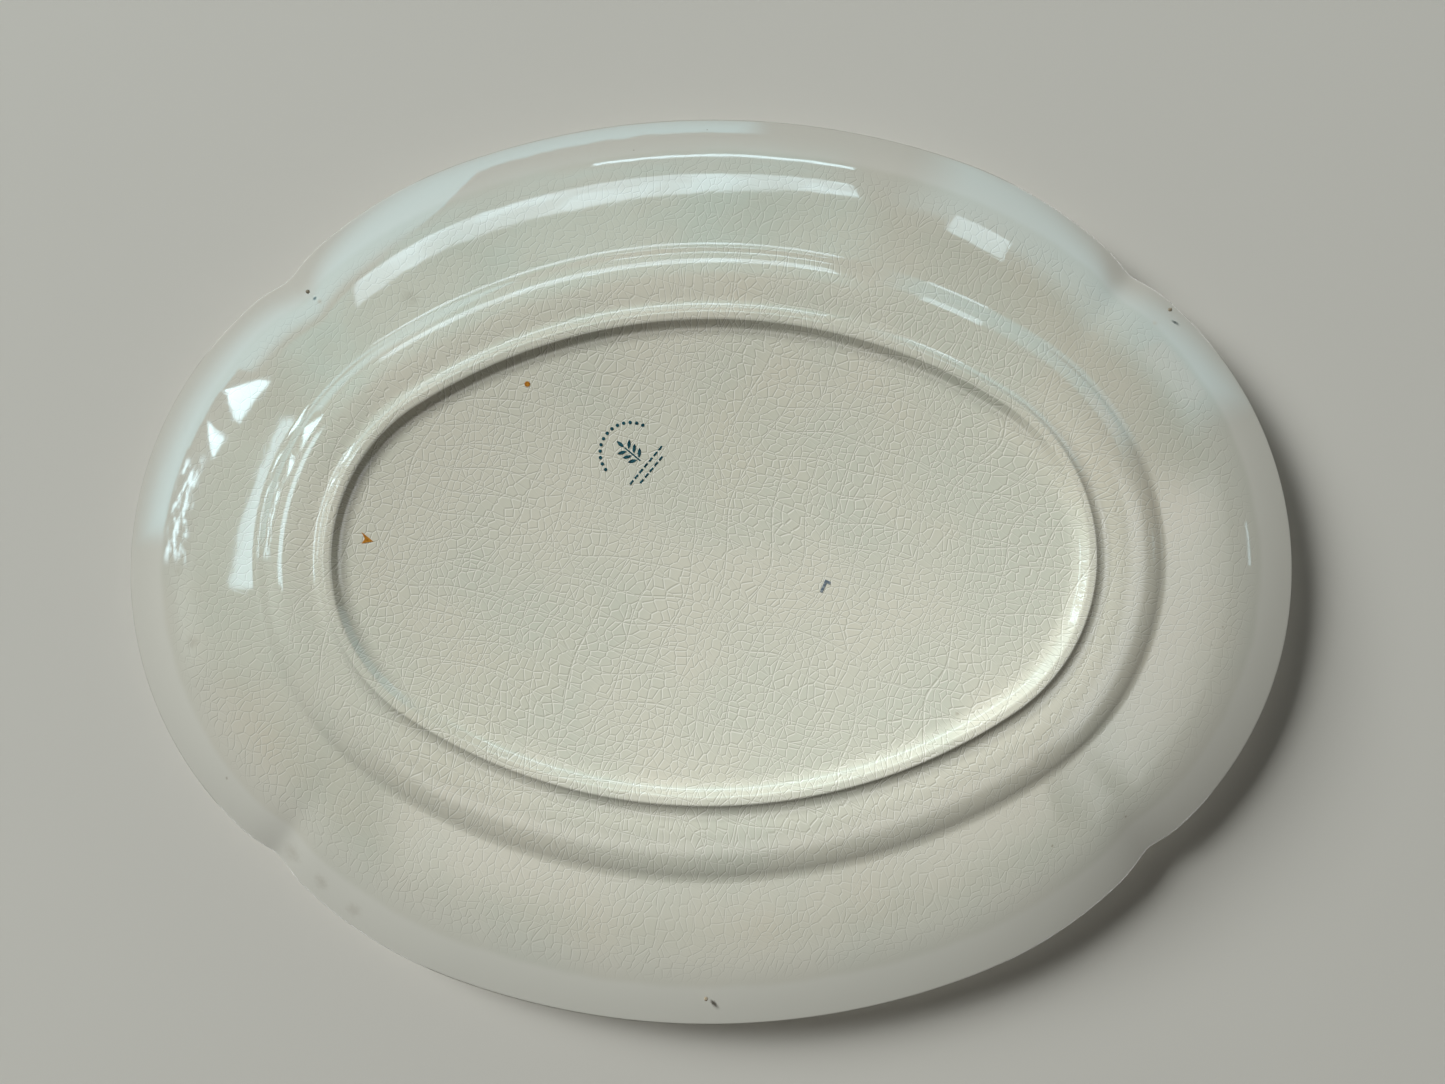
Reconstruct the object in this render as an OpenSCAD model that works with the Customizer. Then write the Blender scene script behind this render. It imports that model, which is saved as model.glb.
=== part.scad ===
// Oval china serving platter with a low foot ring and a four-lobed rim, lying face up.
// X runs along the platter, Y across it, and Z = 0 is the surface that the foot stands on.
// The foot follows a four-centre oval. One section runs all round it, and beyond the crease the
// section is stretched to meet the lobed outline of the rim, so the lip keeps one height.

/* [Plan of the rim] */
// Overall length, over the two end lobes
platter_length = 355; // [350:1:360]
// Overall width, over the two side lobes
platter_width = 276.6; // [274:0.2:278]
// Radius of the arc of each end lobe
end_lobe_radius = 108; // [106:1:110]
// Length that the side lobes would have if their arcs ran on past the nips
side_lobe_length = 330.6; // [328:0.2:332]
// Radius of the outer arcs of the side lobes
side_lobe_radius = 132.5; // [131:0.5:134]
// Half width of the soft nip where a side lobe meets an end lobe
nip_width = 7; // [5:0.5:10]
// How far the nip is pressed in beyond the meeting of the two lobes
nip_depth = 1.1; // [0.8:0.1:1.4]

/* [Foot ring] */
// Length of the foot, along the middle of its land
foot_length = 213.4; // [210:0.2:216]
// Width of the foot, along the middle of its land
foot_width = 135.8; // [134:0.2:138]
// Radius of the ends of the foot's oval
foot_end_radius = 51.6; // [50:0.2:53]
// Width of the narrow land that the platter stands on
foot_land = 1; // [0.8:0.1:1.4]
// Radius of the foot's shoulders
foot_round = 1.2; // [1:0.1:1.5]
// Radius of the fillet inside the foot
foot_inner_fillet = 5; // [4.6:0.1:5.4]
// Length of the straight part of the foot's inner flank
foot_flank = 1.5; // [1.2:0.1:1.8]
// Radius of the fillet outside the foot
foot_outer_fillet = 7; // [6.6:0.1:7.4]
// Slope of the foot's two flanks, in degrees
foot_flank_slope = 48; // [45:1:50]

/* [Bouge and rim] */
// Radius of the bouge, the curve between the foot and the rim
bouge_radius = 26; // [25:0.2:27]
// Steepest slope of the bouge, in degrees
bouge_slope = 34; // [33:0.5:35]
// Radius of the crease where the bouge meets the rim
crease_radius = 13; // [12:0.2:14]
// Slope of the rim at the crease, in degrees
rim_slope_inner = 15; // [14:0.5:16]
// Slope of the rim half way out, in degrees
rim_slope_middle = 19; // [18:0.5:20]
// Slope of the rim where it has turned up, in degrees
rim_slope_outer = 27.5; // [26.5:0.5:28]
// Radius of the rim's hollow from the crease to half way out
rim_inner_radius = 320; // [300:10:340]
// Radius of the rim's hollow from there to the lip band
rim_outer_radius = 95; // [90:5:100]
// Width of the even band inside the lip
lip_band = 17; // [16:0.5:18]

/* [Thickness] */
// Thickness of the well, glaze included
well_thickness = 4.4; // [4.2:0.1:5]
// Thickness at the crease
crease_thickness = 4.3; // [4:0.1:4.6]
// Thickness at the lip
lip_thickness = 3.3; // [3:0.1:3.6]
// Thickness of the glaze on each face
glaze = 0.3; // [0.2:0.05:0.4]

/* [Marks on the back] */
// Place of the printed mark, from the centre of the platter
mark_place = [-22.3, -29.3]; // [-30:0.1:-15]
// Turn of the printed mark, in degrees
mark_turn = -50; // [-60:1:-40]
// Half height of the printed mark's ring of beads
mark_radius = 8.5; // [8:0.5:9.5]
// Thickness of the print
print_thickness = 0.1; // [0.08:0.01:0.15]
// Radius of the scar that each kiln pin left
pin_radius = 0.6; // [0.5:0.1:0.8]

/* [Hidden] */
$fn = 96;

// Widest step of slope, in degrees, between two points of an arc in the section
section_step = 16;

// The four-centre oval of the foot: two end arcs and two side arcs
end_centre = foot_length / 2 - foot_end_radius;
side_radius = (pow(end_centre, 2) + pow(foot_width / 2, 2) - pow(foot_end_radius, 2))
    / (foot_width - 2 * foot_end_radius);
side_centre = side_radius - foot_width / 2;
// Direction of the joint between an end arc and a side arc, from the X axis
joint_direction = atan(side_centre / end_centre);

// Depth of the recess inside the foot, which makes the foot's land touch Z = 0
recess = (foot_round + foot_inner_fillet) * (1 - cos(foot_flank_slope)) + foot_flank * sin(foot_flank_slope);
// Where the inner fillet leaves the flat back of the well
fillet_start = -foot_land / 2 - (foot_round + foot_inner_fillet) * sin(foot_flank_slope)
    - foot_flank * cos(foot_flank_slope);
well_floor = recess + well_thickness;

// The section is a chain of arcs and straight runs. Each point is [offset from the foot, height, slope].
// An arc is ["arc", radius, slope it ends at], with a negative radius where the slope falls.
foot_inside_chain = [
    ["arc", -foot_inner_fillet, -foot_flank_slope],
    ["run", foot_flank],
    ["arc", foot_round, 0]
];
foot_outside_chain = [
    ["arc", foot_round, foot_flank_slope],
    ["arc", -foot_outer_fillet, 0]
];
rim_chain = [
    ["arc", bouge_radius, bouge_slope],
    ["arc", -crease_radius, rim_slope_inner],
    ["arc", rim_inner_radius, rim_slope_middle],
    ["arc", rim_outer_radius, rim_slope_outer],
    ["run", lip_band]
];

function last(list) = list[len(list) - 1];
function reversed(list) = [for (i = [len(list) - 1 : -1 : 0]) list[i]];

// Points along one link of the chain, which starts at point p
function link_points(p, link) =
    link[0] == "run"
    ? [[p[0] + link[1] * cos(p[2]), p[1] + link[1] * sin(p[2]), p[2]]]
    : let (steps = max(2, ceil(abs(link[2] - p[2]) / section_step)))
      [for (i = [1 : steps])
          let (slope = p[2] + (link[2] - p[2]) * i / steps)
          [p[0] + link[1] * (sin(slope) - sin(p[2])), p[1] + link[1] * (cos(p[2]) - cos(slope)), slope]];

function chain_points(p, chain, i = 0) =
    i == len(chain) ? [] :
    let (points = link_points(p, chain[i]))
    concat(points, chain_points(last(points), chain, i + 1));

// The back of the platter in three lines: inside the foot, outside it as far as the bouge, and the rest
well_edge = [fillet_start, recess, 0];
foot_inside = concat([well_edge], chain_points(well_edge, foot_inside_chain));
land_edge = [foot_land / 2, 0, 0];
foot_outside = concat([land_edge], chain_points(land_edge, foot_outside_chain));
bouge_start = last(foot_outside);
rim_back = chain_points(bouge_start, rim_chain);
crease_offset = bouge_start[0] + bouge_radius * sin(bouge_slope);
rim_end = last(rim_back);

// Wall thickness at an offset, from the bouge out to the lip
function wall(offset) = lookup(offset, [
    [bouge_start[0], well_floor - bouge_start[1]],
    [crease_offset, crease_thickness],
    [rim_end[0], lip_thickness]
]);

// A point moved square to its own slope by a distance, up for a positive one
function moved(p, distance) = [p[0] - distance * sin(p[2]), p[1] + distance * cos(p[2])];

// Each line below is drawn in from the finished surface by a depth, and runs outward from the well
function inside_line(depth) = concat(
    [for (i = [0 : len(foot_inside) - 2]) moved(foot_inside[i], depth)],
    [moved(last(foot_inside), 0)]
);
function outside_line(depth) = concat(
    [moved(land_edge, 0)],
    [for (i = [1 : len(foot_outside) - 1]) moved(foot_outside[i], depth)],
    [for (p = rim_back) moved(p, depth)]
);
function face_line(depth) = [for (p = concat([bouge_start], rim_back)) moved(p, wall(p[0]) - depth)];

// Points round the half-round lip. A turn of 0 is its back edge and 180 its face edge.
lip_centre = moved(rim_end, lip_thickness / 2);
function lip_line(depth, turns) =
    [for (turn = turns) lip_centre
        + (lip_thickness / 2 - depth) * [sin(rim_slope_outer + turn), -cos(rim_slope_outer + turn)]];
widest_turn = 90 - rim_slope_outer;
widest_offset = lip_line(0, [widest_turn])[0][0];
lip_back_turns = [widest_turn / 2, widest_turn];
lip_face_turns = [widest_turn + 40, widest_turn + 80];

// The arcs of the rim's outline
lobe_centre = platter_length / 2 - end_lobe_radius;
side_end_centre = side_lobe_length / 2 - side_lobe_radius;
side_lobe_width = platter_width / 2;
side_big_radius = (pow(side_end_centre, 2) + pow(side_lobe_width, 2) - pow(side_lobe_radius, 2))
    / (2 * (side_lobe_width - side_lobe_radius));
side_big_centre = side_big_radius - side_lobe_width;
// Where the end lobe's circle crosses the side lobe's
centre_gap = lobe_centre - side_end_centre;
nip_x = side_end_centre
    + (pow(centre_gap, 2) + pow(side_lobe_radius, 2) - pow(end_lobe_radius, 2)) / (2 * centre_gap);
nip_y = sqrt(pow(side_lobe_radius, 2) - pow(nip_x - side_end_centre, 2));
nip_direction = atan2(nip_y, nip_x - end_centre);

// Distance from a point p inside a circle to the circle, along a direction
function way_out(p, direction, centre, radius) =
    let (u = [cos(direction), sin(direction)], v = p - centre, along = v * u)
    sqrt(along * along - v * v + radius * radius) - along;

// The oval's centre and radius for a direction between 0 and 90 degrees
function arc_centre(direction) = direction < joint_direction ? [end_centre, 0] : [0, -side_centre];
function arc_radius(direction) = direction < joint_direction ? foot_end_radius : side_radius;

// Distance from the foot to the rim's outline, for a direction between 0 and 90 degrees
function edge_offset(direction) =
    let (
        p = arc_centre(direction),
        end_way = way_out(p, direction, [lobe_centre, 0], end_lobe_radius),
        corner_way = way_out(p, direction, [side_end_centre, 0], side_lobe_radius),
        side_way = way_out(p, direction, [0, -side_big_centre], side_big_radius),
        corner = p + corner_way * [cos(direction), sin(direction)],
        past_joint = (corner[0] - side_end_centre) * side_big_centre > corner[1] * side_end_centre,
        oval_way = past_joint ? corner_way : side_way,
        way = max(end_way, oval_way),
        from_nip = (direction - nip_direction) * PI / 180 * way / nip_width
    )
    way - arc_radius(direction) - nip_depth * exp(-from_nip * from_nip);

// Directions of the stations round a quarter of the platter, closer together at the nip
nip_reach = 8;
quarter_spans = [[0, nip_direction - nip_reach, 5],
                 [nip_direction - nip_reach, nip_direction + nip_reach, 8],
                 [nip_direction + nip_reach, 90, 6]];
quarter = concat(
    [for (span = quarter_spans, i = [0 : span[2] - 1]) span[0] + (span[1] - span[0]) * i / span[2]],
    [90]
);
quarter_steps = len(quarter) - 1;

// A station is [side of X, side of Y, direction within its quarter, stretch of the rim]
function station(mx, my, direction) =
    [mx, my, direction, (edge_offset(direction) - crease_offset) / (widest_offset - crease_offset)];
stations = concat(
    [for (i = [0 : quarter_steps - 1]) station(1, 1, quarter[i])],
    [for (i = [quarter_steps : -1 : 1]) station(-1, 1, quarter[i])],
    [for (i = [0 : quarter_steps - 1]) station(-1, -1, quarter[i])],
    [for (i = [quarter_steps : -1 : 1]) station(1, -1, quarter[i])]
);

// The place in space of a section point at a station
function placed(st, p) =
    let (
        offset = p[0] <= crease_offset ? p[0] : crease_offset + (p[0] - crease_offset) * st[3],
        flat = arc_centre(st[2]) + (arc_radius(st[2]) + offset) * [cos(st[2]), sin(st[2])]
    )
    [st[0] * flat[0], st[1] * flat[1], p[1]];

// The four corners between rows a and b, as two triangles. Inward runs use the other diagonal, so that
// two solids that share a surface share its triangles.
function strip(a, b, inward) =
    [for (j = [0 : len(stations) - 1])
        let (k = (j + 1) % len(stations), n = len(stations))
        each inward
            ? [[a * n + j, b * n + j, a * n + k], [b * n + j, b * n + k, a * n + k]]
            : [[a * n + j, b * n + j, b * n + k], [a * n + j, b * n + k, a * n + k]]];

// A line of section points carried round the platter. A ring joins the line's last point to its first;
// anything else is closed with a flat face at each end. The line runs outward underneath, then back on top.
module carried_round(line, ring = false) {
    n = len(stations);
    rows = len(line);
    sides = [for (r = [0 : ring ? rows - 1 : rows - 2])
        let (next = (r + 1) % rows)
        each strip(r, next, line[next][0] < line[r][0])];
    caps = ring ? [] : [[for (j = [0 : n - 1]) j], [for (j = [n - 1 : -1 : 0]) (rows - 1) * n + j]];
    polyhedron([for (p = line) each [for (st = stations) placed(st, p)]], concat(sides, caps), convexity = 6);
}

// The pressed clay: well, bouge, rim and foot in one, bare only along the land of the foot
module earthenware_body() color("#d8d2bd") {
    difference() {
        carried_round(concat(
            inside_line(glaze),
            outside_line(glaze),
            lip_line(glaze, concat(lip_back_turns, lip_face_turns)),
            reversed(face_line(glaze))
        ));
        kiln_pin_scars();
    }
}

// The clear glaze over the face, as far as the widest line of the lip
module face_glaze() color("#e6e3d4") {
    carried_round(concat(
        face_line(glaze),
        reversed(lip_line(glaze, concat([widest_turn], lip_face_turns))),
        lip_line(0, concat([widest_turn], lip_face_turns)),
        reversed(face_line(0))
    ));
}

// The crazed glaze over the back, inside the foot and outside it, with a hole where each pin stood
module back_glaze() color("#dcdac9") {
    inner_surface = inside_line(glaze);
    carried_round(concat(
        inside_line(0),
        [for (i = [len(inner_surface) - 2 : -1 : 0]) inner_surface[i]]
    ));
    outer_surface = concat(outside_line(glaze), lip_line(glaze, lip_back_turns));
    difference() {
        carried_round(concat(
            outside_line(0),
            lip_line(0, lip_back_turns),
            [for (i = [len(outer_surface) - 1 : -1 : 1]) outer_surface[i]]
        ), ring = true);
        kiln_pin_scars();
    }
}

// Places a flat print on the back of the well
module on_well_back(place, turn) {
    translate([place[0], place[1], recess - print_thickness]) rotate([0, 0, turn])
        linear_extrude(print_thickness) children();
}
// A leaf: the overlap of two circles, with its stalk end at the origin
module leaf(length, width) {
    r = (pow(length, 2) + pow(width, 2)) / (4 * width);
    intersection() {
        translate([length / 2, r - width / 2]) circle(r, $fn = 48);
        translate([length / 2, width / 2 - r]) circle(r, $fn = 48);
    }
}

// Leaves in pairs up a stalk, with one at its tip
leaf_pairs = 3;
leaf_pitch = 1.9;
module sprig() {
    stalk = leaf_pairs * leaf_pitch;
    translate([-0.2, -stalk / 2 - 0.8]) square([0.4, stalk]);
    for (pair = [0 : leaf_pairs - 1], side = [-1, 1])
        translate([side * 0.45, leaf_pitch * pair - stalk / 2]) rotate([0, 0, 90 - side * 55]) leaf(2.7, 0.95);
    translate([0, stalk / 2 - 0.5]) rotate([0, 0, 90]) leaf(2.6, 1);
}

// A row of dashes under the sprig
dash_pitch = 2.1;
module dash_row(count, height) {
    for (i = [0 : count - 1])
        translate([(i - (count - 1) / 2) * dash_pitch, height]) square([1.5, 0.5], center = true);
}

// A plain printed mark: a leaf sprig under an arc of beads, over two rows of dashes
bead_count = 13;
bead_radius = 0.5;
bead_arc = 150;
module backstamp_print() color("#17475a") {
    on_well_back(mark_place, mark_turn) {
        for (i = [0 : bead_count - 1])
            let (turn = 90 + bead_arc * (i / (bead_count - 1) - 0.5))
            translate(mark_radius * [cos(turn), -sin(turn)]) circle(bead_radius, $fn = 24);
        mirror([0, 1]) sprig();
        dash_row(7, 5.8);
        dash_row(5, 7.8);
    }
}

// A short hooked stroke from a decorator's brush
module decorator_tick() color("#6d7f92") {
    on_well_back([32, 8.9], 25) {
        square([0.8, 3.8], center = true);
        translate([0.8, -1.5]) square([1.2, 0.8], center = true);
    }
}

// Height of the back at an offset from the foot
function back_height(offset) = lookup(offset, [for (p = rim_back) [p[0], p[1]]]);

// Distance of a place outside the foot's oval
function foot_offset(place) =
    let (x = abs(place[0]), y = abs(place[1]))
    x * side_centre < (y + side_centre) * end_centre
    ? norm([x, y + side_centre]) - side_radius
    : norm([x - end_centre, y]) - foot_end_radius;

// Scars of the three pins that held the platter in the kiln
pin_places = [[-120, -80.5], [139.5, -74.5], [-2, 128]];
module kiln_pin_scars() color("#b9ab8f") {
    for (place = pin_places)
        translate([place[0], place[1], back_height(foot_offset(place))]) sphere(pin_radius, $fn = 32);
}

// Flecks of iron burnt out of the clay: one notched like a dart, one round
module iron_specks() color("#b5732c") {
    on_well_back([-96.1, -5.1], 0) polygon([[1.5, 0.6], [-1.9, -2.1], [-0.9, -0.2], [-1.8, 1.2]]);
    on_well_back([-51.5, -49], 0) circle(0.8, $fn = 24);
}

earthenware_body();
face_glaze();
back_glaze();
backstamp_print();
decorator_tick();
kiln_pin_scars();
iron_specks();
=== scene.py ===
"""The looks of an oval earthenware serving platter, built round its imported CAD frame.

The platter's lengths are in millimetres and its angles in degrees, and MM turns a placed point into metres.
Lights and cards are placed in metres. The platter lies face up in the frame, with its foot on Z = 0.
The camera looks up at its crazed back.
"""

import math

import bpy
from mathutils import Matrix, Vector


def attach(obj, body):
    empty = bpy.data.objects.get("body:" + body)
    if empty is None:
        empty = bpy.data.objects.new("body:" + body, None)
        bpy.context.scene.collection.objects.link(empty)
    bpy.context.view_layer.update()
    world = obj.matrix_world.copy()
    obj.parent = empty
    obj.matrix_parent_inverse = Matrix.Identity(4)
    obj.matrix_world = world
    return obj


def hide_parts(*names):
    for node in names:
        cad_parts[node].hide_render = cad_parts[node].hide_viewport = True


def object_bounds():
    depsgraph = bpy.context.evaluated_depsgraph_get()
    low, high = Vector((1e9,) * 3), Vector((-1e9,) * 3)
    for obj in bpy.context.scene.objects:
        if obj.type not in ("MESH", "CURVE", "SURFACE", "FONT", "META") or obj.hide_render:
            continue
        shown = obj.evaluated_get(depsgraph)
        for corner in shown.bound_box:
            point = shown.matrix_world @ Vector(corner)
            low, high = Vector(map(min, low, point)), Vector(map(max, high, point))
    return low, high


MM = 0.001

# The rim's outline: two end lobes and two side lobes that meet at soft nips
PLATTER_LENGTH = 355.0
PLATTER_WIDTH = 276.6
END_LOBE_RADIUS = 108.0
SIDE_LOBE_LENGTH = 330.6
SIDE_LOBE_RADIUS = 132.5
NIP_WIDTH = 7.0
NIP_DEPTH = 1.1

# The foot ring, a four-centre oval
FOOT_LENGTH = 213.4
FOOT_WIDTH = 135.8
FOOT_END_RADIUS = 51.6
FOOT_LAND = 1.0
FOOT_ROUND = 1.2
FOOT_INNER_FILLET = 5.0
FOOT_FLANK = 1.5
FOOT_OUTER_FILLET = 7.0
FOOT_FLANK_SLOPE = 48.0

# The bouge and rim
BOUGE_RADIUS = 26.0
BOUGE_SLOPE = 34.0
CREASE_RADIUS = 13.0
RIM_SLOPES = (15.0, 19.0, 27.5)
RIM_RADII = (320.0, 95.0)
LIP_BAND = 17.0

# Thicknesses, with the glaze included
WELL_THICKNESS = 4.4
CREASE_THICKNESS = 4.3
LIP_THICKNESS = 3.3
GLAZE = 0.3

# How finely the meshes are cut
QUARTER_STATIONS = 96
FINE_STEP = 3.0
COARSE_STEP = 12.0

# The well's back and face are rings, each this fraction of the oval that edges them
WELL_RINGS = (0.02, 0.15, 0.3, 0.45, 0.6, 0.74, 0.86, 0.94, 0.98)

# Offsets from the foot: where the two pieces of the back glaze meet, and the middle of the rim
GLAZE_CUT = 27.0
MIDDLE_RIM = 35.0

# The "place" attribute counts the middle of the well as this far inside the foot
WELL_REACH = 60.0

# Past either end of any section line
BEYOND = 1000.0


def sin(angle):
    return math.sin(math.radians(angle))


def cos(angle):
    return math.cos(math.radians(angle))


# ---------------------------------------------------------------- the section

END_CENTRE = FOOT_LENGTH / 2 - FOOT_END_RADIUS
SIDE_RADIUS = (END_CENTRE**2 + (FOOT_WIDTH / 2) ** 2 - FOOT_END_RADIUS**2) / (
    FOOT_WIDTH - 2 * FOOT_END_RADIUS
)
SIDE_CENTRE = SIDE_RADIUS - FOOT_WIDTH / 2
JOINT_DIRECTION = math.degrees(math.atan2(SIDE_CENTRE, END_CENTRE))
INNER_ROUNDS = FOOT_ROUND + FOOT_INNER_FILLET
RECESS = INNER_ROUNDS * (1 - cos(FOOT_FLANK_SLOPE)) + FOOT_FLANK * sin(FOOT_FLANK_SLOPE)
FILLET_START = -FOOT_LAND / 2 - INNER_ROUNDS * sin(FOOT_FLANK_SLOPE) - FOOT_FLANK * cos(FOOT_FLANK_SLOPE)
WELL_FLOOR = RECESS + WELL_THICKNESS


def link_points(start, link, step):
    """Points along one link: ("run", length), or ("arc", signed radius, slope it ends at)."""
    offset, height, slope = start
    if link[0] == "run":
        return [(offset + link[1] * cos(slope), height + link[1] * sin(slope), slope)]
    radius, end_slope = link[1:]
    steps = max(2, math.ceil(abs(end_slope - slope) / step))
    slopes = [slope + (end_slope - slope) * i / steps for i in range(1, steps + 1)]
    return [
        (offset + radius * (sin(s) - sin(slope)), height + radius * (cos(slope) - cos(s)), s)
        for s in slopes
    ]


def chain_points(start, chain, step):
    """Points (offset from the foot, height, slope) along a chain of links."""
    points = [start]
    for link in chain:
        points += link_points(points[-1], link, step)
    return points


def back_lines(step):
    """The back of the section: inside the foot, outside it, and from the bouge to the lip."""
    inside = chain_points(
        (FILLET_START, RECESS, 0.0),
        [("arc", -FOOT_INNER_FILLET, -FOOT_FLANK_SLOPE), ("run", FOOT_FLANK), ("arc", FOOT_ROUND, 0.0)],
        step,
    )
    outside = chain_points(
        (FOOT_LAND / 2, 0.0, 0.0),
        [("arc", FOOT_ROUND, FOOT_FLANK_SLOPE), ("arc", -FOOT_OUTER_FILLET, 0.0)],
        step,
    )
    inner_slope, middle_slope, outer_slope = RIM_SLOPES
    rim = chain_points(
        outside[-1],
        [
            ("arc", BOUGE_RADIUS, BOUGE_SLOPE),
            ("arc", -CREASE_RADIUS, inner_slope),
            ("arc", RIM_RADII[0], middle_slope),
            ("arc", RIM_RADII[1], outer_slope),
            ("run", LIP_BAND),
        ],
        step,
    )
    return inside, outside, rim


COARSE_RIM = back_lines(COARSE_STEP)[2]
BOUGE_START = COARSE_RIM[0]
RIM_END = COARSE_RIM[-1]
CREASE_OFFSET = BOUGE_START[0] + BOUGE_RADIUS * sin(BOUGE_SLOPE)


def ramp(value, stops):
    """Straight-line interpolation between (place, value) stops."""
    for (x0, y0), (x1, y1) in zip(stops, stops[1:]):
        if value <= x1:
            return y0 + (y1 - y0) * max(0.0, (value - x0) / (x1 - x0))
    return stops[-1][1]


def wall(offset):
    stops = [
        (BOUGE_START[0], WELL_FLOOR - BOUGE_START[1]),
        (CREASE_OFFSET, CREASE_THICKNESS),
        (RIM_END[0], LIP_THICKNESS),
    ]
    return ramp(offset, stops)


def moved(point, distance):
    """A section point moved square to its slope, as (offset, height, scale about the centre)."""
    offset, height, slope = point
    return (offset - distance * sin(slope), height + distance * cos(slope), 1.0)


def well_line(offset, height):
    """Rings from the centre of the well out to an oval at an offset."""
    return [(offset, height, ring) for ring in WELL_RINGS]


def back_line(depth, step):
    """The whole back, from the centre to the lip, drawn in by a depth."""
    inside, outside, rim = back_lines(step)
    return well_line(FILLET_START, RECESS + depth) + [moved(p, depth) for p in inside + outside + rim[1:]]


def face_line(depth, step):
    """The whole face, from the centre to the lip, drawn in by a depth."""
    rim = back_lines(step)[2]
    floor = well_line(BOUGE_START[0], WELL_FLOOR - depth)
    return floor + [moved(p, wall(p[0]) - depth) for p in rim]


WIDEST_TURN = 90 - RIM_SLOPES[2]
LIP_CENTRE = moved(RIM_END, LIP_THICKNESS / 2)


def lip_line(depth, first, last, count):
    """Points round the half-round lip between two turns. Turn 0 is its back edge and 180 its face edge."""
    radius = LIP_THICKNESS / 2 - depth
    turns = [RIM_SLOPES[2] + first + (last - first) * i / count for i in range(count + 1)]
    return [(LIP_CENTRE[0] + radius * sin(t), LIP_CENTRE[1] - radius * cos(t), 1.0) for t in turns]


WIDEST_OFFSET = lip_line(0.0, WIDEST_TURN, WIDEST_TURN, count=1)[0][0]

# ---------------------------------------------------------------- the plan

LOBE_CENTRE = PLATTER_LENGTH / 2 - END_LOBE_RADIUS
SIDE_END_CENTRE = SIDE_LOBE_LENGTH / 2 - SIDE_LOBE_RADIUS
SIDE_LOBE_WIDTH = PLATTER_WIDTH / 2
SIDE_BIG_RADIUS = (SIDE_END_CENTRE**2 + SIDE_LOBE_WIDTH**2 - SIDE_LOBE_RADIUS**2) / (
    2 * (SIDE_LOBE_WIDTH - SIDE_LOBE_RADIUS)
)
SIDE_BIG_CENTRE = SIDE_BIG_RADIUS - SIDE_LOBE_WIDTH
CENTRE_GAP = LOBE_CENTRE - SIDE_END_CENTRE
NIP_X = SIDE_END_CENTRE + (CENTRE_GAP**2 + SIDE_LOBE_RADIUS**2 - END_LOBE_RADIUS**2) / (2 * CENTRE_GAP)
NIP_Y = math.sqrt(SIDE_LOBE_RADIUS**2 - (NIP_X - SIDE_END_CENTRE) ** 2)
NIP_DIRECTION = math.degrees(math.atan2(NIP_Y, NIP_X - END_CENTRE))


def arc_centre(direction):
    return Vector((END_CENTRE, 0.0)) if direction < JOINT_DIRECTION else Vector((0.0, -SIDE_CENTRE))


def arc_radius(direction):
    return FOOT_END_RADIUS if direction < JOINT_DIRECTION else SIDE_RADIUS


def way_out(start, direction, centre, radius):
    """Distance from a point inside a circle to the circle, along a direction."""
    away = start - Vector(centre)
    along = away.dot(Vector((cos(direction), sin(direction))))
    return math.sqrt(along**2 - away.length_squared + radius**2) - along


def edge_offset(direction):
    """Distance from the foot to the rim's outline, for a direction between 0 and 90 degrees."""
    start = arc_centre(direction)
    end_way = way_out(start, direction, (LOBE_CENTRE, 0.0), END_LOBE_RADIUS)
    corner_way = way_out(start, direction, (SIDE_END_CENTRE, 0.0), SIDE_LOBE_RADIUS)
    side_way = way_out(start, direction, (0.0, -SIDE_BIG_CENTRE), SIDE_BIG_RADIUS)
    corner = start + corner_way * Vector((cos(direction), sin(direction)))
    past_joint = (corner.x - SIDE_END_CENTRE) * SIDE_BIG_CENTRE > corner.y * SIDE_END_CENTRE
    way = max(end_way, corner_way if past_joint else side_way)
    from_nip = math.radians(direction - NIP_DIRECTION) * way / NIP_WIDTH
    return way - arc_radius(direction) - NIP_DEPTH * math.exp(-from_nip * from_nip)


def stations():
    """Places round the platter: (side of X, side of Y, direction in its quarter, stretch of the rim)."""
    quarter = [90.0 * i / QUARTER_STATIONS for i in range(QUARTER_STATIONS + 1)]
    upward, downward = quarter[:-1], quarter[:0:-1]
    turns = [(1, 1, upward), (-1, 1, downward), (-1, -1, upward), (1, -1, downward)]
    rim_width = WIDEST_OFFSET - CREASE_OFFSET
    return [
        (mx, my, direction, (edge_offset(direction) - CREASE_OFFSET) / rim_width)
        for mx, my, directions in turns
        for direction in directions
    ]


STATIONS = stations()

# Slight unevenness from the hand and the kiln: (height, waves round the rim, phase in degrees)
RIM_WAVES = ((0.16, 2, 40.0), (0.12, 3, 250.0), (0.07, 5, 130.0), (0.035, 9, 10.0))
WELL_RISE = 0.06


def unevenness(x, y, offset, scale):
    """Height by which the fired platter departs from its mould. The foot stays flat."""
    turn = math.degrees(math.atan2(y, x))
    rim = max(0.0, offset - CREASE_OFFSET) / (WIDEST_OFFSET - CREASE_OFFSET)
    waves = sum(height * cos(count * turn + phase) for height, count, phase in RIM_WAVES)
    return rim * rim * waves + WELL_RISE * (1 - scale)


def placed(station, point):
    """The place in space, in metres, of a section point at a station."""
    mx, my, direction, stretch = station
    offset, height, scale = point
    if offset > CREASE_OFFSET:
        offset = CREASE_OFFSET + (offset - CREASE_OFFSET) * stretch
    outward = Vector((cos(direction), sin(direction)))
    flat = arc_centre(direction) + (arc_radius(direction) + offset) * outward
    x, y = mx * flat.x * scale, my * flat.y * scale
    return (x * MM, y * MM, (height + unevenness(x, y, point[0], scale)) * MM)


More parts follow.
